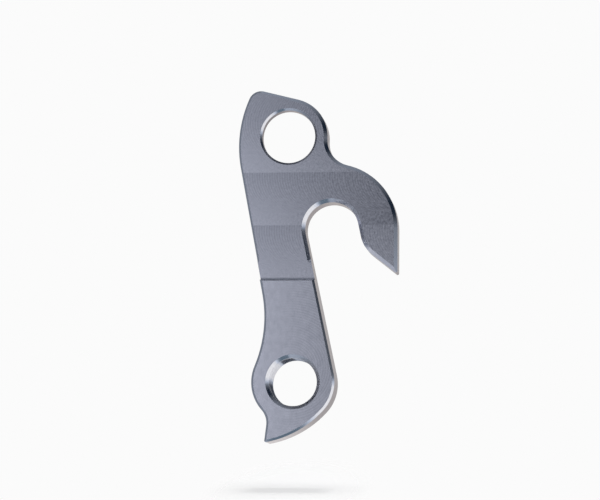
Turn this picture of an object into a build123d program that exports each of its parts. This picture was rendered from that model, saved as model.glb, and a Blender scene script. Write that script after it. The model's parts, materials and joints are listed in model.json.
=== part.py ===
from build123d import *
import os
from collections import namedtuple
from math import sqrt

# Bicycle derailleur hanger, one machined aluminium plate that hangs from a single frame bolt.
# +X points to the front of the bicycle, +Z up and -Y outboard, away from the wheel.
# The origin is on the frame bolt's axis, in the outboard face of the tab. Sizes are millimetres.

# Plate
tab_thickness = 5.0
boss_step = 2.0
step_drop = 27.2

# Frame bolt hole, at the origin
bolt_radius = 5.0
bolt_chamfer = 0.4
lug_wall = 2.3
counterbore_ledge = 1.0
counterbore_depth = 2.7

# Axle slot, placed from the frame bolt
axle_forward = 8.25
axle_drop = 17.45
slot_width = 10.0
slot_straight = 2.6
hook_wall = 7.3
hook_tip_drop = 8.6
hook_heel_radius = 5.75

# Derailleur hole, placed from the axle, with the minor radius of its thread
mech_setback = 6.85
mech_drop = 28.8
mech_radius = 4.46
mech_chamfer = 0.62
boss_wall = 3.29

# Rounds that join the lug, the hook and the boss, and the angles at which they touch
neck_radius = 5.0
tail_radius = 19.1
tail_start_angle = -42.3
tail_end_angle = -80.5
notch_radius = 3.6
notch_angle = -138.0
waist_radius = 23.8
waist_angle = 157.8
side_radius = 22.5
side_forward = 13.1
side_drop = 1.7
corner_radius = 2.4
corner_angle = 156.4

# Edges
tab_chamfer = 0.65
rear_chamfer = 0.4
boss_chamfer = 0.42
shoulder_chamfer = 0.25
back_chamfer = 0.2
tip_radius = 0.3
chamfer_stop = 4.1
mill_radius = 1.0
countersink_angle = 90

# Worked out from the sizes above
lug_radius = bolt_radius + lug_wall
slot_radius = slot_width / 2
hook_radius = slot_radius + hook_wall
boss_radius = mech_radius + boss_wall
rear_stock = tab_chamfer - rear_chamfer
bolt = Vector(0, 0)
axle = Vector(axle_forward, -axle_drop)
mech = axle + Vector(-mech_setback, -mech_drop)

# A round of the outline: positive radius where the plate bulges, negative where it is hollow
Round = namedtuple("Round", "centre radius")
# The lean between touching rounds is rounded off, so that the edge between them has no length
lean_digits = 9
shortest_edge = 1e-4


def left_of(vector):
    """The vector turned a quarter turn anticlockwise."""
    return Vector(-vector.Y, vector.X)


def direction(angle):
    """Unit vector at an angle from +X, in degrees."""
    return Vector(1, 0).rotate(Axis.Z, angle)


def grown(base, amount):
    """Round with the same centre and its edge moved outwards."""
    return Round(base.centre, base.radius + amount)


def touching_at(base, radius, angle):
    """Round that touches the base round at the given angle."""
    return Round(base.centre + direction(angle) * (base.radius - radius), radius)


def touching_both(first, last, radius):
    """Round that touches two others, on the left of the way from the first to the last."""
    gap = last.centre - first.centre
    first_reach = first.radius - radius
    last_reach = last.radius - radius
    along = (gap.length**2 + first_reach**2 - last_reach**2) / (2 * gap.length)
    aside = sqrt(first_reach**2 - along**2)
    ahead = gap.normalized()
    return Round(first.centre + ahead * along + left_of(ahead) * aside, radius)


def common_normal(first, last):
    """Outward normal of the straight edge that leaves one round and meets the next, going clockwise."""
    gap = last.centre - first.centre
    lean = round((first.radius - last.radius) / gap.length, lean_digits)
    ahead = gap.normalized()
    return ahead * lean + left_of(ahead) * sqrt(1 - lean**2)


def point_at_height(first, last, height):
    """Point at a height on the straight edge between two rounds."""
    normal = common_normal(first, last)
    along = left_of(normal)
    start = first.centre + normal * first.radius
    return start + along * ((height - start.Y) / along.Y)


def draw_outline(rounds):
    """Closed line that runs clockwise round a chain of rounds, straight where two of them don't touch."""
    for before, this, after in zip(rounds[-1:] + rounds[:-1], rounds, rounds[1:] + rounds[:1]):
        arrival = common_normal(before, this)
        departure = common_normal(this, after)
        arc_end = this.centre + departure * this.radius
        next_start = after.centre + departure * after.radius
        if this.radius:
            TangentArc(this.centre + arrival * this.radius, arc_end, tangent=-left_of(arrival))
        if (next_start - arc_end).length > shortest_edge:
            Line(arc_end, next_start)


# The rounds of the outline
lug = Round(bolt, lug_radius)
hook = Round(axle, hook_radius)
slot_end = Round(axle, -slot_radius)
boss = Round(mech, boss_radius)
neck = touching_both(lug, hook, -neck_radius)
hook_tip = Round(axle + Vector(hook_radius, -hook_tip_drop), 0)
slot_across = common_normal(slot_end, boss)
slot_down = -left_of(slot_across)
heel_across = slot_across * (slot_radius + hook_heel_radius)
hook_heel = Round(axle + slot_down * slot_straight + heel_across, hook_heel_radius)
tail = touching_at(boss, tail_radius, tail_start_angle)
tail_tip = touching_at(tail, 0, tail_end_angle)
notch = touching_at(boss, -notch_radius, notch_angle)
waist = touching_at(boss, -waist_radius, waist_angle)
side = Round(Vector(side_forward, -side_drop), side_radius)
corner = touching_at(side, corner_radius, corner_angle)

# Clockwise as seen from outboard: the top and the hook, the blade and the tail, then the rear edge
front_chain = [lug, neck, hook, hook_tip, hook_heel, slot_end, boss, tail, tail_tip, notch, boss]
rear_chain = [waist, side, corner]
stock_chain = [grown(base, rear_stock) for base in rear_chain]

# Where the tab's chamfer runs out, above the shoulder, on the rear edge and on the slot's edge
stop_height = chamfer_stop - step_drop
rear_across = common_normal(waist, side)
rear_stop = point_at_height(waist, side, stop_height)
slot_stop = point_at_height(slot_end, boss, stop_height)
mill_axes = [
    rear_stop + rear_across * (mill_radius - rear_chamfer),
    slot_stop + slot_across * (mill_radius - tab_chamfer),
]

# Outer points of the region below the run-outs, which keeps clear of the hook
rear_clear = rear_stop + rear_across * slot_radius
slot_clear = slot_stop + slot_across * slot_radius
foot = slot_clear + slot_down * (mech_drop + tail_radius)

with BuildSketch(Plane.XZ) as outline:
    with BuildLine():
        draw_outline(front_chain + rear_chain)
    make_face()

with BuildSketch(Plane.XZ) as blank:
    with BuildLine():
        draw_outline(front_chain + stock_chain)
    make_face()

with BuildSketch(Plane.XZ) as rounded_outline:
    add(outline.sketch_local)
    tips = [rounded_outline.vertices().sort_by_distance(tip.centre)[0] for tip in (hook_tip, tail_tip)]
    fillet(tips, tip_radius)

with BuildSketch(Plane.XZ) as plain_edged:
    add(outline.sketch_local)
    with BuildLine():
        Polyline(
            rear_clear,
            rear_stop - rear_across * mill_radius,
            slot_stop - slot_across * mill_radius,
            slot_clear,
            foot,
            (rear_clear.X, foot.Y),
            close=True,
        )
    make_face(mode=Mode.INTERSECT)

with BuildSketch(Plane.XZ.offset(boss_step)) as boss_pad:
    add(plain_edged.sketch_local)
    with Locations((0, -step_drop)):
        Rectangle(2 * foot.length, foot.length, align=(Align.CENTER, Align.MAX), mode=Mode.INTERSECT)

with BuildPart() as hanger:
    # Tab, chamfered all round its outboard face, with stock on the rear edge that is trimmed off below
    extrude(blank.sketch, amount=-tab_thickness)
    chamfer(hanger.faces().sort_by(Axis.Y)[0].edges(), tab_chamfer)

    # Plain edges below the run-outs, which the chamfer mill leaves round
    extrude(plain_edged.sketch, amount=-tab_thickness)
    with Locations([Plane((axis.X, 0, axis.Y), z_dir=(0, -1, 0)) for axis in mill_axes]):
        Cone(0, 2 * mill_radius, 2 * mill_radius, mode=Mode.SUBTRACT)

    # Boss that stands proud of the tab below the shoulder
    extrude(boss_pad.sketch, amount=-boss_step)
    chamfer(hanger.faces().sort_by(Axis.Y)[0].edges().sort_by(Axis.Z)[:-1], boss_chamfer)
    chamfer(hanger.faces().sort_by(Axis.Y)[0].edges().sort_by(Axis.Z)[-1], shoulder_chamfer)

    # Rear edge trimmed and tips rounded, then the inboard edges broken
    extrude(rounded_outline.sketch, amount=tab_thickness + boss_step, both=True, mode=Mode.INTERSECT)
    chamfer(hanger.faces().sort_by(Axis.Y)[-1].edges(), back_chamfer)

    # Frame bolt hole, counterbored inboard for the head of the bolt
    with Locations(Plane.XZ):
        CounterSinkHole(bolt_radius, bolt_radius + bolt_chamfer, counter_sink_angle=countersink_angle)
    with Locations(Plane((0, tab_thickness, 0), z_dir=(0, 1, 0))):
        Hole(bolt_radius + counterbore_ledge, depth=counterbore_depth)

    # Derailleur hole, countersunk outboard
    with Locations(Plane((mech.X, -boss_step, mech.Y), z_dir=(0, -1, 0))):
        CounterSinkHole(mech_radius, mech_radius + mech_chamfer, counter_sink_angle=countersink_angle)

hanger.part.label = "hanger"
os.makedirs("parts", exist_ok=True)
export_step(hanger.part, "parts/hanger.step")
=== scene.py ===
import bmesh
import bpy
import json
from math import cos, pi, radians, sin, tan
from mathutils import Matrix, Vector


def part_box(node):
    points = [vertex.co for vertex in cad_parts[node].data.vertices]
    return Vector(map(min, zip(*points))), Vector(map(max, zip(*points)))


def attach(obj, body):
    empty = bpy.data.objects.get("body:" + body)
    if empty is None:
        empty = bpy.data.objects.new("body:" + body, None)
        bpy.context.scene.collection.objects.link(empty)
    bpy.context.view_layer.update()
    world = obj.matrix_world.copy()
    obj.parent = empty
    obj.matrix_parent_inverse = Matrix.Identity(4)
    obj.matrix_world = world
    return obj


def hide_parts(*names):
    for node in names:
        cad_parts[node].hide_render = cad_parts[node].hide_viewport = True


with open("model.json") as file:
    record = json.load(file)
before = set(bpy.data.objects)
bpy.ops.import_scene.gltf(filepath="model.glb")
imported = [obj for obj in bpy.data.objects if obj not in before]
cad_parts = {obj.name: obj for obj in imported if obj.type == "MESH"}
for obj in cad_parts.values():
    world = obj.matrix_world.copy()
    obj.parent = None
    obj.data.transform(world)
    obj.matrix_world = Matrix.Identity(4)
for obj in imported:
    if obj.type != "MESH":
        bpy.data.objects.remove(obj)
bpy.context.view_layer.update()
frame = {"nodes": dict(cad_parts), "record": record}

# Bicycle derailleur hanger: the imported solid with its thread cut, a finish for each kind of face, and the
# photo's studio, whose panels show in the metal. Lengths are in metres unless a comment says millimetres.

scene = bpy.context.scene
MM = 0.001

# The photo's camera, and where the plate's thickness lines and the frame bolt appear in the picture
image_width = 600
image_height = 500
lens = 160
sensor_width = 36
nearest_seen = 0.01
thickness_vanishing_px = (610, 581)
bolt_px = (288.5, 136.4)
px_per_mm = 5.33
camera_roll = radians(0.5)

# Thread of the derailleur hole, M10x1, cut into the plain hole of the frame
mounts = {mount["name"]: mount for mount in frame["record"]["mounts"]}
thread_axis = Vector(mounts["derailleur_thread"]["pos_m"])
thread_minor = mounts["derailleur_thread"]["dims"]["r_mm"] * MM
thread_major = 5.0 * MM
thread_pitch = 1.0 * MM
thread_angle = radians(60)
thread_start = 1.0 * MM  # from the face of the boss, under the countersink
thread_runout = 1.5  # turns past the inboard face
thread_overlap = 0.1 * MM  # of the cutter into the open hole
thread_steps = 72  # in a turn

# Mesh of the hanger
weld_distance = 0.001 * MM
sharp_angle = radians(32)

# How squarely a face looks along the plate's thickness, by which the kinds of face are told apart
flat_facing = 0.95
level_facing = 0.99  # the flat face round the derailleur hole
wall_facing = 0.2
cone_facing = (0.6, 0.8)  # the countersink

# Where the faces are
proud_depth = -1.0 * MM  # outboard of this is the boss, not the tab
crest_shade_depth = -0.1 * MM  # inboard of this the thread's crests get a dark tint, as painted shade in the hole
crest_slack = 0.01 * MM
mouth_slack = 0.12 * MM  # of the countersink, beyond the thread
shoulder_rise = 0.5  # how far the shoulder's chamfer looks up, at least
drilled_radius = 6.1 * MM  # frame bolt hole with its counterbore

# Walls of the axle slot, which fade into the wall of the boss
slot_rear = 2.9 * MM
slot_front = 14.5 * MM
slot_top = -12 * MM
slot_foot = -33 * MM
slot_fade = -23  # height where the fade starts, in millimetres

# Colours of the metal
aluminium = (0.335, 0.351, 0.424, 1)  # face-milled
aluminium_marked_and_shaded = (0.186, 0.198, 0.246, 1)  # in dark marks and in painted shade
aluminium_smooth = (0.79, 0.80, 0.86, 1)  # on chamfers, in the slot and in the derailleur hole
aluminium_wall = (0.50, 0.525, 0.60, 1)
aluminium_drilled = (0.36, 0.37, 0.41, 1)

# Tints of the metal at grazing angles
grazing_tint = (0.68, 0.62, 0.60, 1)
slot_tint = (0.57, 0.52, 0.50, 1)
thread_tint = (0.66, 0.66, 0.70, 1)
# dark tint of the thread's crests deep in the hole, which is painted shade
crest_painted_shade_tint = (0.20, 0.20, 0.23, 1)

# Noise of all finishes
noise_detail = 3.0
noise_middle = 0.5
noise_span = (0.3, 0.7)  # most of it keeps to this

# Milled faces. A tone is 0 for the metal's own colour and 1 for that of dark marks and painted shade.
milled_roughness = (0.22, 0.27)
milled_relief = 0.001  # in millimetres

# Passes of the face mill over the tab, in millimetres
pass_edges = (-6.83, -16.82, -27.2)  # their lower edges, from the top
cutter_height = 9.4  # of the cutter's middle above a lower edge
cutter_radius = 6.9
mark_pitch = 0.471
mark_heights = (2.6, 6)  # above a lower edge, where the marks come in
corner_shade_heights = (0.25, 0.63)  # above the lowest edge, where the painted shade in the corner at the shoulder fades

# Tones of the tab: its marks, the painted sheen of its passes, and painted shade
mark_tone = 0.105
pass_painted_sheen = (0.34, 0.79)  # painted sheen and shade, at the lower and the upper edge of a pass
upper_painted_shade = 0.06  # more painted shade in the upper two passes
# painted shade in the corner at the shoulder
corner_painted_shade = 1.25
tab_contrast = 0.6
tab_grain = (2.4, 1.8)  # scale across and up, for each millimetre

# What changes on the tab towards the hook, with painted shade and painted highlight on its second and third
# passes
hook_span = (-2, 18)  # from the frame bolt, in millimetres
second_hook_painted_light = (0.4, -0.15)  # painted shade at the lower edge and painted highlight at the upper edge of the second pass
# painted highlight on the third pass
third_hook_painted_light = -0.36
hook_marks = 0.5
hook_contrast = 2.2

# Marks on the boss, in even rings and uneven streaks
boss_marks = (-0.6, 2.6)  # their middle, from the derailleur hole, in millimetres
ring_tone = 0.11
streak_tone = 0.4
streak_turns = 0.8  # how fast the streaks change along the rings
ring_span = (-2, 5)  # where the marks grow stronger towards the front, in millimetres
ring_strength = (0.1, 1.0)

# Ground of the boss under its marks, with painted shade that grows towards the front
boss_span = (-4, 6)  # from the rear to the front, in millimetres
boss_tones_and_painted_shade = (0.19, 0.28)
boss_contrast = 0.8
boss_grain = 0.7  # scale upwards, for each millimetre

# Ground lines of the inboard face
belt_across = 4.0  # scale across the lines and along them, for each millimetre
belt_along = 0.12
belt_tone = 0.5
back_tone = 0.4
back_contrast = 0.4

# Lines that the side of a mill leaves on walls and chamfers
side_lines = (3.0, 0.3, 3.0)  # scale along each axis, for each millimetre
side_tone = 0.12
roughness_spread = 0.15
wall_relief = 0.004  # in millimetres, as the next two
shoulder_relief = 0.002
edge_relief = 0.0004
mouth_lean = 0.025  # of the countersink's shading outboard, as a part of the normal

# Background and floor
background = 0.965
fill_light = 0.12  # of the world on the floor
floor_height = -66.15 * MM
floor_slope = radians(10)
floor_half = 0.2
floor_colour = (0.8, 0.8, 0.8, 1)
floor_shine = 0.65

# Shadow on the floor, and the lamp that casts it
shadow_depth = 1.5 * MM  # the middle of the part's own depth
shadow_middle = 0.3  # to the front, in millimetres
shadow_reach = (6, 15.5)  # from where to where the floor fades, in millimetres
shadow_narrowing = 0.33  # the fading is an oval, drawn out along the depth
lamp_size = 0.11
lamp_power = 0.74
lamp_forward = 0.05
lamp_height = 0.45

# Ring of cards round the middle of the plate
ring_middle = Vector((0.005, 0, -0.024))
ring_step = 4  # about so many degrees between a card's corners
cool_grey = (0.9, 1.0, 1.16)
dark = (0.008, 0.016, 0.030)
teal = (0.135, 0.185, 0.23)
lamp_white = (1.01, 1.00, 0.98)


class Shader:
    """A material's nodes, with short calls to add more of them."""

    def __init__(self, name):
        self.material = bpy.data.materials.new(name)
        self.material.use_nodes = True
        self.tree = self.material.node_tree
        self.surface = self.tree.nodes["Principled BSDF"]
        self.output = self.tree.nodes["Material Output"]

    def feed(self, socket, value):
        """Sets a socket's value, or links it where the value is another node's output."""
        if isinstance(value, bpy.types.NodeSocket):
            self.tree.links.new(value, socket)
        else:
            socket.default_value = value

    def node(self, kind, inputs, **settings):
        made = self.tree.nodes.new(kind)
        for name, value in settings.items():
            setattr(made, name, value)
        for name, value in inputs.items():
            self.feed(made.inputs[name], value)
        return made

    def math(self, operation, *values):
        return self.node("ShaderNodeMath", dict(enumerate(values)), operation=operation).outputs[0]

    def mix(self, factor, first, last):
        """Colour between two others, or past the first where the factor is below 0."""
        made = self.node("ShaderNodeMix", {}, data_type="RGBA", clamp_factor=False)
        inputs = [socket for socket in made.inputs if socket.enabled]
        for socket, value in zip(inputs, (factor, first, last)):
            self.feed(socket, value)
        return [socket for socket in made.outputs if socket.enabled][0]

    def paint_marks_and_shade(self, tone, colour=aluminium):
        """Colour of the metal, its own at tone 0 and that of dark marks and painted shade at tone 1, and
        lighter below 0, which is painted highlight.
        """
        self.feed(self.surface.inputs["Base Color"], self.mix(tone, colour, aluminium_marked_and_shaded))

    def ramp(self, value, span, levels):
        """Level that goes from the first to the last while the value crosses the span."""
        low, high = span
        first, last = levels
        inputs = {"Value": value, "From Min": low, "From Max": high, "To Min": first, "To Max": last}
        return self.node("ShaderNodeMapRange", inputs).outputs[0]

    def noise(self, vector):
        inputs = {"Vector": vector, "Scale": 1.0, "Detail": noise_detail}
        return self.node("ShaderNodeTexNoise", inputs).outputs["Fac"]

    def vector(self, x, y, z):
        return self.node("ShaderNodeCombineXYZ", {"X": x, "Y": y, "Z": z}).outputs[0]

    def length(self, x, y):
        sides = {0: self.vector(x, y, 0.0)}
        return self.node("ShaderNodeVectorMath", sides, operation="LENGTH").outputs["Value"]

    def position(self):
        """Place on the object, in millimetres."""
        place = self.node("ShaderNodeTexCoord", {}).outputs["Object"]
        inputs = {0: place, "Scale": 1 / MM}
        scaled = self.node("ShaderNodeVectorMath", inputs, operation="SCALE").outputs[0]
        return self.node("ShaderNodeSeparateXYZ", {0: scaled}).outputs

    def leaned(self, lean):
        """The surface's normal, leaned outboard by the given amount."""
        normal = self.node("ShaderNodeNewGeometry", {}).outputs["Normal"]
        outboard = {"Vector": (0, -lean, 0)}
        aside = self.node("ShaderNodeVectorTransform", outboard, convert_from="OBJECT", convert_to="WORLD")
        leaning = self.node("ShaderNodeVectorMath", {0: normal, 1: aside.outputs[0]}, operation="ADD")
        return self.node("ShaderNodeVectorMath", {0: leaning.outputs[0]}, operation="NORMALIZE").outputs[0]

    def relief(self, height, depth, lean=0):
        """Bumps of the given depth, in millimetres, on a surface that leans outboard."""
        inputs = {"Height": height, "Strength": 1.0, "Distance": depth * MM}
        if lean:
            inputs["Normal"] = self.leaned(lean)
        self.feed(self.surface.inputs["Normal"], self.node("ShaderNodeBump", inputs).outputs[0])


def metal(name, tint=grazing_tint):
    """Bare aluminium, before its marks."""
    shader = Shader(name)
    shader.surface.inputs["Metallic"].default_value = 1.0
    shader.surface.inputs["Specular Tint"].default_value = tint
    return shader


def mill_finish(shader, ground, marks, tone, contrast):
    """Colour, roughness and relief of a milled surface with the given marks and tone, on a ground that is
    mottled; on the tab and the boss the tone holds painted sheen and painted shade.
    """
    mottle = shader.noise(ground)
    scatter = shader.math("MULTIPLY", shader.math("SUBTRACT", mottle, noise_middle), contrast)
    shader.paint_marks_and_shade(shader.math("ADD", shader.math("ADD", scatter, marks), tone))
    shader.feed(shader.surface.inputs["Roughness"], shader.ramp(mottle, noise_span, milled_roughness))
    shader.relief(marks, milled_relief)


def milled_tab():
    """Face of the tab: passes of a face mill, each lighter towards its lower edge as painted sheen, with
    curved marks and painted shade in the corner at the shoulder.
    """
    shader = metal("milled_tab")
    x, y, z = shader.position()
    hookward = shader.ramp(x, hook_span, (0.0, 1.0))

    # Height above the lower edge of the pass
    first, second, third = pass_edges
    above_first = shader.math("GREATER_THAN", z, first)
    above_second = shader.math("GREATER_THAN", z, second)
    edge = shader.math("MULTIPLY_ADD", above_second, second - third, third)
    edge = shader.math("MULTIPLY_ADD", above_first, first - second, edge)
    rise = shader.math("SUBTRACT", z, edge)
    pass_heights = (0, second - third)

    # The marks are arcs of the cutter's edge, upright near the top of a pass, that fade out low in it
    aside = shader.math("SUBTRACT", rise, cutter_height)
    ahead = shader.math("SUBTRACT", cutter_radius**2, shader.math("MULTIPLY", aside, aside))
    across = shader.math("ADD", x, shader.math("SQRT", shader.math("MAXIMUM", ahead, 0.0)))
    wave = shader.math("SINE", shader.math("MULTIPLY", across, 2 * pi / mark_pitch))
    marks = shader.math("MULTIPLY", wave, shader.ramp(rise, mark_heights, (0.0, mark_tone)))
    marks = shader.math("MULTIPLY", marks, shader.math("MULTIPLY_ADD", hookward, hook_marks, 1.0))

    # Painted shade and highlight: towards the hook the second pass is darker at its lower edge and lighter at
    # its upper edge, and the third pass brighter
    second_pass = shader.math("SUBTRACT", above_second, above_first)
    third_pass = shader.math("SUBTRACT", 1.0, above_second)
    hook_painted_light = shader.math("MULTIPLY", second_pass, shader.ramp(rise, pass_heights, second_hook_painted_light))
    hook_painted_light = shader.math("MULTIPLY_ADD", third_pass, third_hook_painted_light, hook_painted_light)
    fade = shader.math("MULTIPLY", hook_painted_light, hookward)
    # Painted sheen: each pass lighter towards its lower edge; painted shade in the upper two passes
    tone = shader.math("ADD", fade, shader.ramp(rise, pass_heights, pass_painted_sheen))
    tone = shader.math("MULTIPLY_ADD", above_second, upper_painted_shade, tone)

    # Painted shade: a dark line in the corner where the tab meets the shoulder of the boss
    corner = [third + height for height in corner_shade_heights]
    tone = shader.math("ADD", tone, shader.ramp(z, corner, (corner_painted_shade, 0.0)))

    grain_across, grain_up = tab_grain
    ground_across = shader.math("MULTIPLY", across, grain_across)
    ground = shader.vector(ground_across, 0.0, shader.math("MULTIPLY", z, grain_up))
    contrast = shader.math("MULTIPLY_ADD", hookward, hook_contrast, tab_contrast)
    mill_finish(shader, ground, marks, tone, contrast)
    return shader.material


def milled_boss():
    """Face of the boss: uneven marks of the mill, curved round the derailleur hole and clearest before it, on
    a ground with painted shade that grows towards the front.
    """
    shader = metal("milled_boss")
    x, y, z = shader.position()
    from_x = shader.math("SUBTRACT", x, thread_axis.x / MM + boss_marks[0])
    from_z = shader.math("SUBTRACT", z, thread_axis.z / MM + boss_marks[1])
    rings = shader.math("DIVIDE", shader.length(from_x, from_z), mark_pitch)
    angle = shader.math("ARCTAN2", from_z, from_x)
    fine = shader.vector(rings, shader.math("MULTIPLY", angle, streak_turns), 0.0)
    streaks = shader.math("SUBTRACT", shader.noise(fine), noise_middle)
    wave = shader.math("SINE", shader.math("MULTIPLY", rings, 2 * pi))
    marks = shader.math("MULTIPLY_ADD", wave, ring_tone, shader.math("MULTIPLY", streaks, streak_tone))
    marks = shader.math("MULTIPLY", marks, shader.ramp(x, ring_span, ring_strength))
    ground = shader.vector(x, 0.0, shader.math("MULTIPLY", z, boss_grain))
    # Painted shade: the ground of the boss darker towards the front
    mill_finish(shader, ground, marks, shader.ramp(x, boss_span, boss_tones_and_painted_shade), boss_contrast)
    return shader.material


def ground_back():
    """Inboard face: straight lines along the plate, as a grinding belt leaves them."""
    shader = metal("ground_back")
    x, y, z = shader.position()
    along = shader.math("MULTIPLY", z, belt_along)
    lines = shader.noise(shader.vector(shader.math("MULTIPLY", x, belt_across), 0.0, along))
    marks = shader.math("MULTIPLY", shader.math("SUBTRACT", lines, noise_middle), belt_tone)
    mill_finish(shader, shader.vector(x, 0.0, along), marks, back_tone, back_contrast)
    return shader.material


def side_milled(name, colour, depth, roughness, tint=grazing_tint, lean=0, fades=False):
    """Walls and chamfers: fine lines along the plate's thickness, left by the side of a mill.

    A finish that fades has the look of the other walls at the foot of the axle slot."""
    shader = metal(name, tint)
    place = shader.position()
    if fades:
        share = shader.ramp(place["Z"], (slot_foot / MM, slot_fade), (0.0, 1.0))
        colour = shader.mix(share, aluminium_wall, colour)
        shader.feed(shader.surface.inputs["Specular Tint"], shader.mix(share, grazing_tint, tint))
    scaled = [shader.math("MULTIPLY", along, count) for along, count in zip(place, side_lines)]
    lines = shader.noise(shader.vector(*scaled))
    shader.paint_marks_and_shade(shader.ramp(lines, noise_span, (0.0, side_tone)), colour)
    smoothest = roughness * (1 - roughness_spread)
    roughest = roughness * (1 + roughness_spread)
    shader.feed(shader.surface.inputs["Roughness"], shader.ramp(lines, noise_span, (smoothest, roughest)))
    shader.relief(lines, depth, lean)
    return shader.material


def thread_cutter():
    """Helical ridge of the thread's section, from under the countersink to past the inboard face."""
    low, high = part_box("hanger")
    start = low.y + thread_start
    turns = (high.y - start) / thread_pitch + thread_runout
    # The section is flat at the major radius, and its wide side overlaps the hole
    flat = thread_pitch / 8
    inner = thread_minor - thread_overlap
    wide = flat + (thread_major - inner) * 2 * tan(thread_angle / 2)
    profile = [(inner, -wide / 2), (thread_major, -flat / 2), (thread_major, flat / 2), (inner, wide / 2)]
    mesh = bmesh.new()
    rings = []
    for step in range(int(turns * thread_steps) + 1):
        angle = 2 * pi * step / thread_steps + pi
        y = start + thread_pitch * step / thread_steps
        rings.append([
            mesh.verts.new((thread_axis.x + r * sin(angle), y + along, thread_axis.z + r * cos(angle)))
            for r, along in profile
        ])
    for ring, after in zip(rings, rings[1:]):
        for corner in range(len(profile)):
            following = (corner + 1) % len(profile)
            mesh.faces.new((ring[corner], ring[following], after[following], after[corner]))
    mesh.faces.new(rings[0])
    mesh.faces.new(rings[-1])
    bmesh.ops.recalc_face_normals(mesh, faces=mesh.faces)
    data = bpy.data.meshes.new("thread_cutter")
    mesh.to_mesh(data)
    mesh.free()
    cutter = bpy.data.objects.new("thread_cutter", data)
    scene.collection.objects.link(cutter)
    return cutter


def welded_copy(node, name):
    """New object with the node's mesh, its faces joined at their edges and parted at the slot's foot."""
    source = frame["nodes"][node].data
    data = bpy.data.meshes.new(name)
    data.from_pydata([v.co for v in source.vertices], [], [p.vertices for p in source.polygons])
    mesh = bmesh.new()
    mesh.from_mesh(data)
    bmesh.ops.remove_doubles(mesh, verts=mesh.verts, dist=weld_distance)
    whole = mesh.verts[:] + mesh.edges[:] + mesh.faces[:]
    bmesh.ops.bisect_plane(mesh, geom=whole, plane_co=(0, 0, slot_foot), plane_no=(0, 0, 1))
    mesh.to_mesh(data)
    mesh.free()
    made = bpy.data.objects.new(name, data)
    scene.collection.objects.link(made)
    return made


def threaded_hanger():
    """The node with the thread cut into its derailleur hole."""
    hanger = welded_copy("hanger", "hanger_threaded")
    cutter = thread_cutter()
    cut = hanger.modifiers.new("thread", "BOOLEAN")
    cut.operation = "DIFFERENCE"
    cut.solver = "EXACT"
    cut.object = cutter
    bpy.context.view_layer.update()
    evaluated = hanger.evaluated_get(bpy.context.evaluated_depsgraph_get())
    hanger.data = bpy.data.meshes.new_from_object(evaluated)
    hanger.modifiers.clear()
    bpy.data.objects.remove(cutter)
    hanger.data.shade_smooth()
    hanger.data.set_sharp_from_angle(angle=sharp_angle)
    return hanger


def finish_of(polygon):
    """Name of a face's finish, by the way it looks and where it is."""
    centre = polygon.center
    normal = polygon.normal
    facing = abs(normal.y)
    from_thread = centre - thread_axis
    from_thread.y = 0
    is_wall = facing < wall_facing
    is_proud = centre.y < proud_depth
    in_crest_shade = is_wall and centre.y > crest_shade_depth
    least_cone, most_cone = cone_facing
    if in_crest_shade and from_thread.length < thread_minor + crest_slack:
        return "crest"
    if from_thread.length < thread_major + mouth_slack and facing < level_facing:
        return "countersink" if least_cone < facing < most_cone else "thread"
    if normal.y > flat_facing:
        return "back"
    if facing > flat_facing:
        return "boss" if is_proud else "tab"
    if is_wall and Vector((centre.x, 0, centre.z)).length < drilled_radius:
        return "drilled"
    if is_wall and slot_rear < centre.x < slot_front and slot_foot < centre.z < slot_top:
        return "slot"
    if is_wall:
        return "wall"
    return "shoulder" if is_proud and normal.z > shoulder_rise else "chamfer"


def dress(hanger):
    """Gives each face of the hanger its finish."""
    smooth = aluminium_smooth
    finishes = {
        "tab": milled_tab(),
        "boss": milled_boss(),
        "back": ground_back(),
        "wall": side_milled("side_milled", aluminium_wall, wall_relief, roughness=0.15),
        "slot": side_milled("slot_milled", smooth, wall_relief, roughness=0.15, tint=slot_tint, fades=True),
        "shoulder": side_milled("shoulder_milled", smooth, shoulder_relief, roughness=0.4),
        "drilled": side_milled("drilled", aluminium_drilled, wall_relief, roughness=0.2),
        "chamfer": side_milled("chamfer_milled", smooth, edge_relief, roughness=0.17),
        "countersink": side_milled(
            "countersunk", smooth, edge_relief, roughness=0.16, tint=thread_tint, lean=mouth_lean
        ),
        "thread": side_milled("tapped", smooth, edge_relief, roughness=0.12, tint=thread_tint),
        # Thread crests deep in the hole: a dark tint as painted shade
        "crest": side_milled("thread_crest", smooth, edge_relief, roughness=0.3, tint=crest_painted_shade_tint),
    }
    names = list(finishes)
    hanger.data.materials.clear()
    for material in finishes.values():
        hanger.data.materials.append(material)
    for polygon in hanger.data.polygons:
        polygon.material_index = names.index(finish_of(polygon))


def make_camera():
    """Camera that sees the frame bolt and the plate's thickness lines where the photo has them."""
    focal = lens / sensor_width * image_width
    centre = (image_width / 2, image_height / 2)

    def ray(pixel):
        return Vector(((pixel[0] - centre[0]) / focal, (pixel[1] - centre[1]) / focal, 1))

    # The plate's axes as the camera has them: right, down and ahead
    along_y = ray(thickness_vanishing_px).normalized()
    level = Vector((cos(camera_roll), sin(camera_roll), 0))
    along_x = (level - along_y * level.dot(along_y)).normalized()
    along_z = along_x.cross(along_y)
    bolt = ray(bolt_px) * (focal / px_per_mm * MM)
    rows = Matrix((along_x, along_y, along_z))
    turn = rows @ Matrix.Diagonal((1, -1, -1))
    camera = bpy.data.objects.new("camera", bpy.data.cameras.new("camera"))
    camera.data.lens = lens
    camera.data.sensor_width = sensor_width
    camera.data.clip_start = nearest_seen
    camera.matrix_world = Matrix.Translation(rows @ -bolt) @ turn.to_4x4()
    scene.collection.objects.link(camera)
    scene.camera = camera


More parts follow.
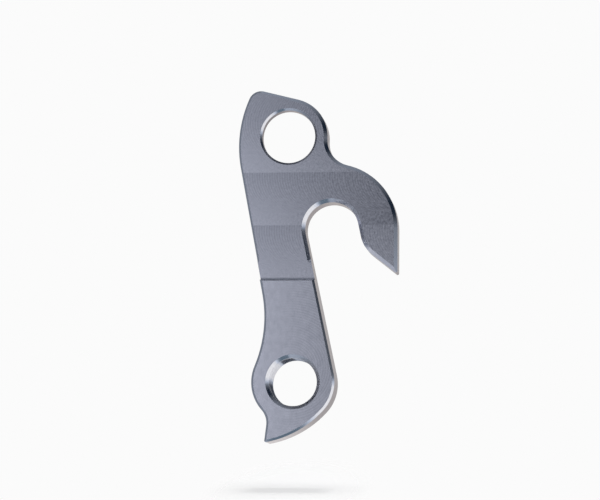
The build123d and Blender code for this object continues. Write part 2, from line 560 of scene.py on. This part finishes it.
def light_world():
    """White studio that shows to the camera and in the metal, and lights the floor softly."""
    world = bpy.data.worlds.new("studio")
    world.use_nodes = True
    scene.world = world
    tree = world.node_tree
    shown = tree.nodes["Background"]
    shown.inputs["Color"].default_value = (background, background, background, 1)
    fill = tree.nodes.new("ShaderNodeBackground")
    fill.inputs["Color"].default_value = (fill_light, fill_light, fill_light, 1)
    path = tree.nodes.new("ShaderNodeLightPath")
    seen = path.outputs["Is Camera Ray"]
    for kind in ("Is Glossy Ray", "Is Transmission Ray"):
        either = tree.nodes.new("ShaderNodeMath")
        either.operation = "MAXIMUM"
        tree.links.new(seen, either.inputs[0])
        tree.links.new(path.outputs[kind], either.inputs[1])
        seen = either.outputs[0]
    choice = tree.nodes.new("ShaderNodeMixShader")
    tree.links.new(seen, choice.inputs[0])
    tree.links.new(fill.outputs[0], choice.inputs[1])
    tree.links.new(shown.outputs[0], choice.inputs[2])
    tree.links.new(choice.outputs[0], tree.nodes["World Output"].inputs["Surface"])


def stage_mesh(name, points, faces):
    """Object of the stage from its corners."""
    data = bpy.data.meshes.new(name)
    data.from_pydata(points, [], faces)
    made = bpy.data.objects.new(name, data)
    scene.collection.objects.link(made)
    return made


def glow(made, shader, colour, strength=1.0):
    """Makes a panel of the stage shine into the metal alone."""
    light = shader.node("ShaderNodeEmission", {"Color": colour, "Strength": strength})
    shader.feed(shader.output.inputs["Surface"], light.outputs[0])
    made.data.materials.append(shader.material)
    made.visible_camera = False
    made.visible_diffuse = False
    made.visible_shadow = False


def grey(level):
    """Cool grey of the studio's reflectors."""
    return tuple(part * level for part in cool_grey)


def card(name, stops, radius=0.6, reach=(-1.1, 0.6)):
    """Panel of a studio ring round the plate's edge, with a colour at each angle clockwise from the right.

    Its reach is from the front to the back, in radii."""
    points = []
    colours = []
    for (start, first), (end, last) in zip(stops, stops[1:]):
        count = max(2, int((end - start) / ring_step))
        for step in range(count + 1):
            part = step / count
            angle = radians(start + (end - start) * part)
            out = ring_middle + Vector((cos(angle), 0, -sin(angle))) * radius
            points += [out + Vector((0, along * radius, 0)) for along in reach]
            colours += [Vector(first).lerp(Vector(last), part)] * 2
    faces = [(i, i + 1, i + 3, i + 2) for i in range(0, len(points) - 2, 2)]
    made = stage_mesh(name, points, faces)
    tones = made.data.attributes.new("tone", "FLOAT_COLOR", "POINT")
    for tone, colour in zip(tones.data, colours):
        tone.color = (*colour, 1)
    shader = Shader(name)
    glow(made, shader, shader.node("ShaderNodeAttribute", {}, attribute_name="tone").outputs["Color"])


def graded_panel(name, distance, sides, light, limits):
    """Panel before or behind the plate, whose light falls off to the right and upwards between two limits.

    The light is the logarithm of its level at the origin, and how much that falls in each millimetre to the
    right and upwards."""
    left, right, low, high = sides
    start, fall_right, fall_up = light
    dimmest, brightest = limits
    corners = ((left, low), (right, low), (right, high), (left, high))
    made = stage_mesh(name, [(x, distance, z) for x, z in corners], [(0, 1, 2, 3)])
    shader = Shader(name)
    x, y, z = shader.position()
    rising = shader.math("MULTIPLY_ADD", z, -fall_up, shader.math("MULTIPLY_ADD", x, -fall_right, start))
    level = shader.math("MINIMUM", shader.math("EXPONENT", rising), brightest)
    glow(made, shader, (1, 1, 1, 1), shader.math("MAXIMUM", level, dimmest))


def make_panels():
    """Cards round the plate and panels before and behind it, which give the metal its tones."""
    # White at the lower right, falling to dark at the upper right
    card("softbox", [
        (-75, grey(0.25)), (-52, grey(0.14)), (-34, dark), (-22, dark), (-15, grey(0.1)), (-11, grey(0.16)),
        (-7.5, grey(0.24)), (-5.5, grey(0.4)), (-2, grey(0.59)), (8, lamp_white), (48, lamp_white),
        (64, grey(0.66)), (84, grey(0.6)),
    ])
    # Nearer and below, for the tops of the holes and of the slot
    card("teal_strip", [
        (54, lamp_white), (59, grey(0.7)), (64, grey(0.36)), (67, teal), (88, teal),
    ], radius=0.2)
    # From below round the left to the top
    card("reflector", [
        (86, grey(0.48)), (110, grey(0.43)), (135, grey(0.29)), (155, grey(0.26)), (185, grey(0.24)),
        (235, grey(0.2)), (258, grey(0.22)), (267, grey(0.33)), (272, grey(0.33)), (279, grey(0.25)),
        (285, grey(0.25)),
    ])
    # Dark in front, for the thread at the lower left and at the top
    card("thread_flag", [(-65, dark), (-11, dark)], radius=0.58, reach=(-1.05, -0.35))
    card("thread_strip", [(62, dark), (94, dark)], radius=0.19, reach=(-1.15, -0.5))
    # Before the faces, and behind for what the walls show at grazing angles
    graded_panel(
        "front_panel", -0.5, sides=(-0.35, 0.35, -0.24, 0.35), light=(-1.13, 0.0165, 0.0014), limits=(0, 2.2)
    )
    graded_panel(
        "back_panel", 0.4, sides=(-0.6, 0.6, -0.6, 0.6), light=(-1.253, 0.0081, 0.0105), limits=(0.69, 1.1)
    )


def make_floor():
    """Pale patch of floor under the hanger that carries its shadow and fades into the white round it."""
    half = floor_half
    turn = Matrix.Rotation(floor_slope, 4, "X")
    place = Matrix.Translation((0, shadow_depth, floor_height)) @ turn
    corners = ((-half, -half), (half, -half), (half, half), (-half, half))
    made = stage_mesh("floor", [place @ Vector((x, y, 0)) for x, y in corners], [(0, 1, 2, 3)])
    shader = Shader("floor")
    x, y, z = shader.position()
    aside = shader.math("SUBTRACT", x, shadow_middle)
    ahead = shader.math("MULTIPLY", y, shadow_narrowing)
    shown = shader.ramp(shader.length(aside, ahead), shadow_reach, (1, 0))
    path = shader.node("ShaderNodeLightPath", {}).outputs
    seen = shader.math("MAXIMUM", path["Is Camera Ray"], path["Is Glossy Ray"])
    seen = shader.math("MAXIMUM", seen, path["Is Transmission Ray"])
    shine = shader.node("ShaderNodeEmission", {"Strength": shader.math("MULTIPLY", seen, floor_shine)})
    matt = shader.node("ShaderNodeBsdfDiffuse", {"Color": floor_colour})
    both = shader.node("ShaderNodeAddShader", {0: shine.outputs[0], 1: matt.outputs[0]})
    clear = shader.node("ShaderNodeBsdfTransparent", {})
    faded = shader.node("ShaderNodeMixShader", {0: shown, 1: clear.outputs[0], 2: both.outputs[0]})
    shader.feed(shader.output.inputs["Surface"], faded.outputs[0])
    made.data.materials.append(shader.material)
    made.visible_glossy = False


def overhead_lamp():
    """Soft lamp above, for the shadow on the floor."""
    data = bpy.data.lights.new("overhead", "AREA")
    data.size = lamp_size
    data.energy = lamp_power
    lamp = bpy.data.objects.new("overhead", data)
    lamp.location = (lamp_forward, shadow_depth, lamp_height)
    lamp.visible_glossy = False
    lamp.visible_camera = False
    scene.collection.objects.link(lamp)


hanger = threaded_hanger()
dress(hanger)
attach(hanger, "root")
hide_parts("hanger")

light_world()
make_panels()
make_floor()
overhead_lamp()
make_camera()
scene.view_settings.view_transform = "Standard"
